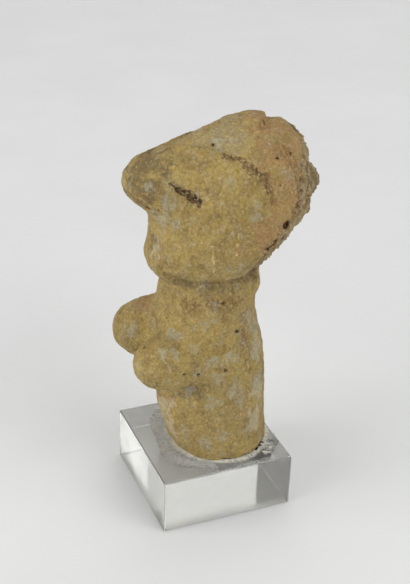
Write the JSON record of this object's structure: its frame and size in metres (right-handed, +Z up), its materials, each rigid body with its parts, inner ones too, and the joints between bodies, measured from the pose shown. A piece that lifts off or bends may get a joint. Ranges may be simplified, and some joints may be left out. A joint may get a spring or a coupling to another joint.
{
  "type": "terracotta female figurine",
  "caption": "Broken hand-modelled terracotta female figurine with a bird-like head and pellet breasts, glued upright on a clear acrylic block.",
  "frame": {"origin": "centre of the acrylic block's underside", "axes": "+Z up; the figurine faces -Y, turned about 5 degrees towards its right, and its left side is +X"},
  "size_m": [0.035, 0.0509, 0.1032],
  "materials": {
    "terracotta": "matte",
    "adhesive": "satin",
    "clear_acrylic": "gloss"
  },
  "bodies": {
    "root": {"figurine": "terracotta", "adhesive": "adhesive", "acrylic_block": "clear_acrylic"}
  },
  "joints": []
}
